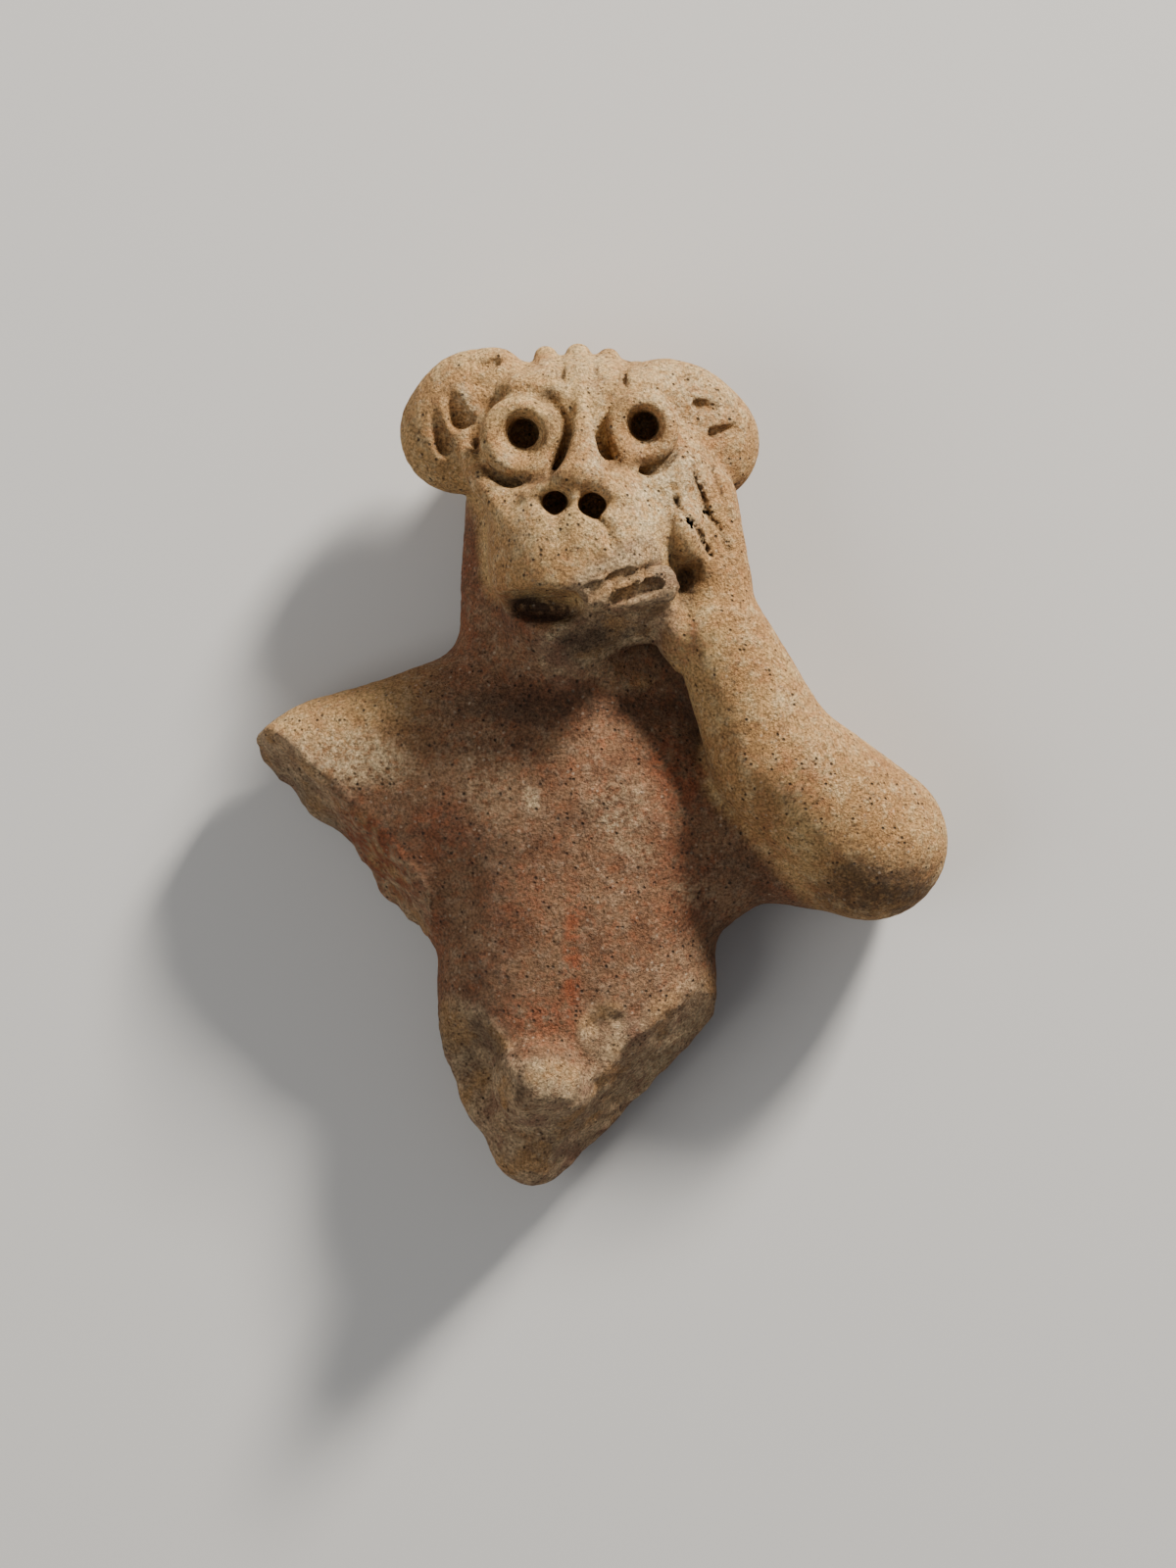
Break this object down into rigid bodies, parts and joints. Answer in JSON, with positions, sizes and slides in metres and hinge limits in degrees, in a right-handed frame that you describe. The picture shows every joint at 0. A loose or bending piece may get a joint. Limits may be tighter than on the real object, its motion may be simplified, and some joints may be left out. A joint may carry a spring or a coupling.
{
  "type": "terracotta figurine bust",
  "caption": "Broken hand-modelled clay bust of a monkey-like figure with ringed eyes, round ears and one hand held to its cheek.",
  "frame": {"origin": "on the flat spot that the figurine lies on, under its chest", "axes": "+Y towards the crown, +X to the viewer's right, +Z out of the face"},
  "size_m": [0.0706, 0.0859, 0.0279],
  "materials": {
    "terracotta": "unglazed fired clay, worn and speckled, with remains of a red wash"
  },
  "bodies": {
    "root": {"figurine": "terracotta"}
  },
  "joints": []
}
